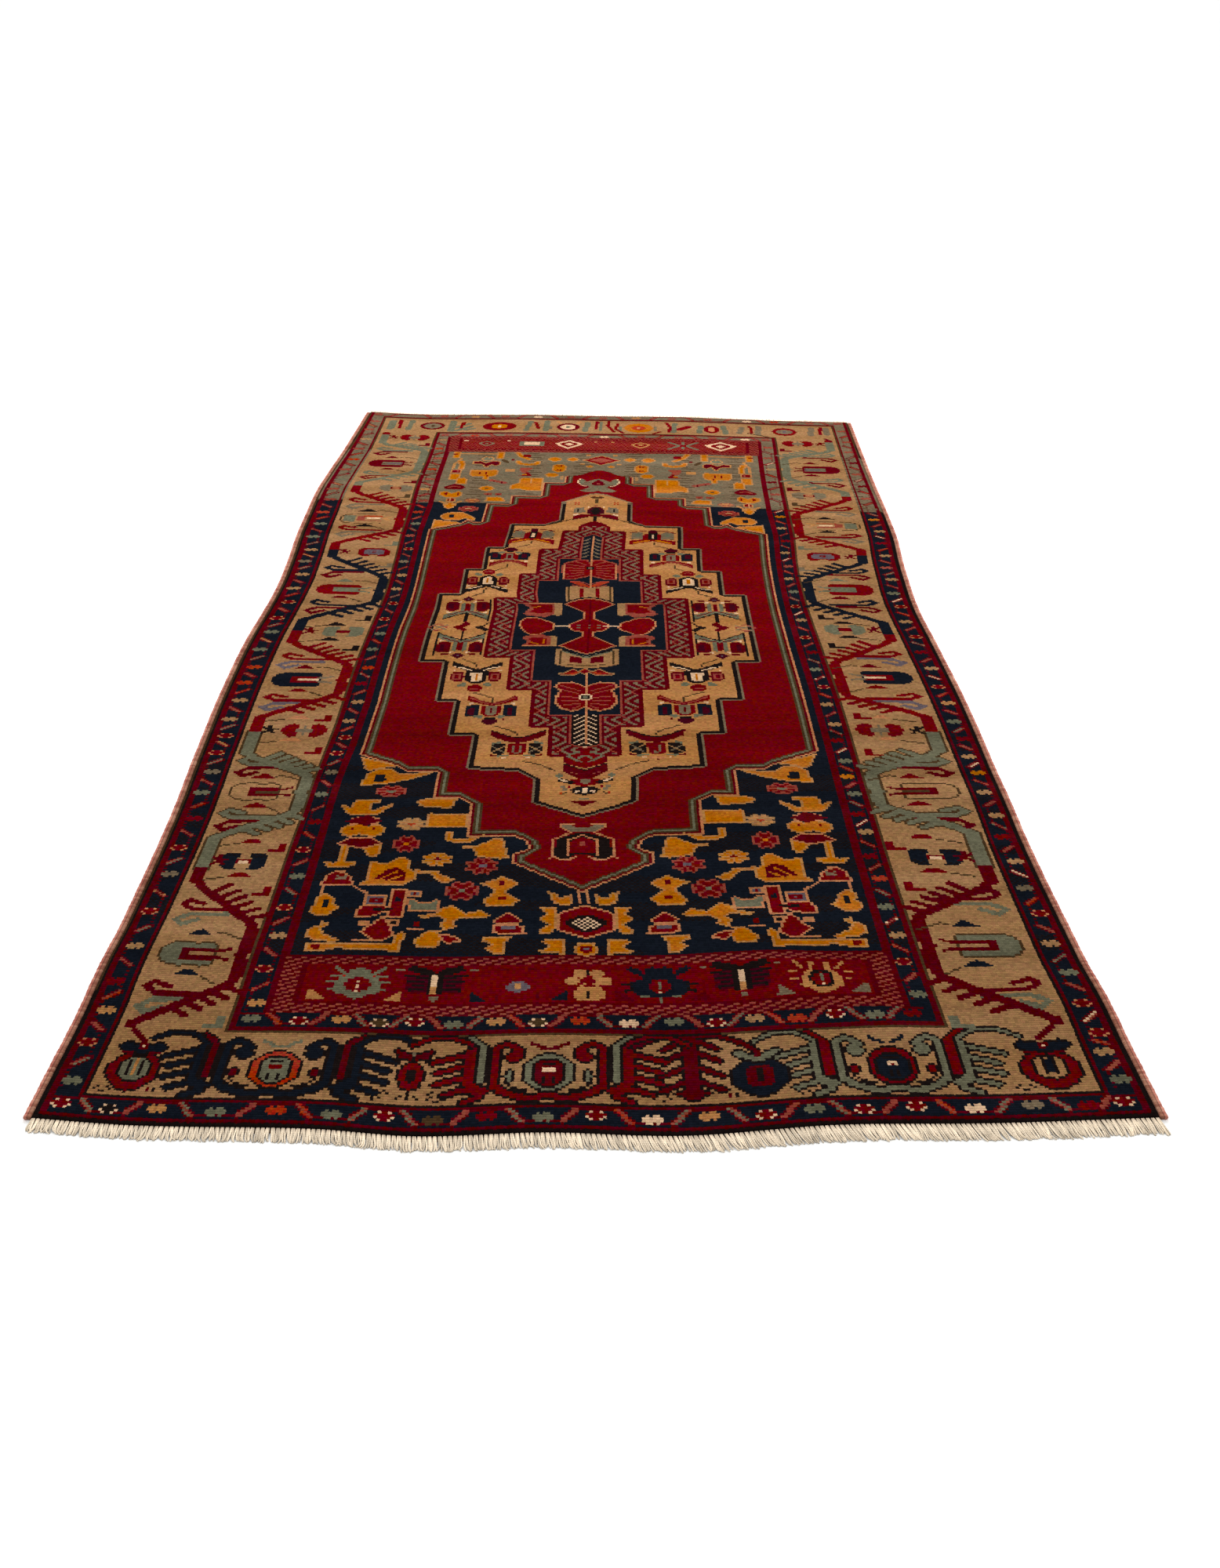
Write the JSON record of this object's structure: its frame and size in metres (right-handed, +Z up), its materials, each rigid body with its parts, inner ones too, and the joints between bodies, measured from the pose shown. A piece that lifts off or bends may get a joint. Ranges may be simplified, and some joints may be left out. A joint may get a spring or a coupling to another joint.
{
  "type": "anatolian rug",
  "caption": "Long hand-knotted Anatolian village rug lying flat, with a wool pile, overcast selvedges along the sides and a short cotton fringe at both ends.",
  "frame": {"origin": "bottom centre of the bounding box, where the rug's underside lies on the floor", "axes": "+X across the rug, +Y along the rug to the end with the abrashed ground, +Z up out of the pile"},
  "size_m": [1.334, 2.73, 0.0148],
  "materials": {
    "pile": "clipped wool pile, slightly glossy with age",
    "selvedge": "wool yarn wound over warp cords, matte",
    "fringe": "undyed warp ends, matte"
  },
  "bodies": {
    "root": {"rug_pile": "pile", "selvedge_left": "selvedge", "selvedge_right": "selvedge", "fringe_front": "fringe", "fringe_far": "fringe"}
  },
  "joints": []
}
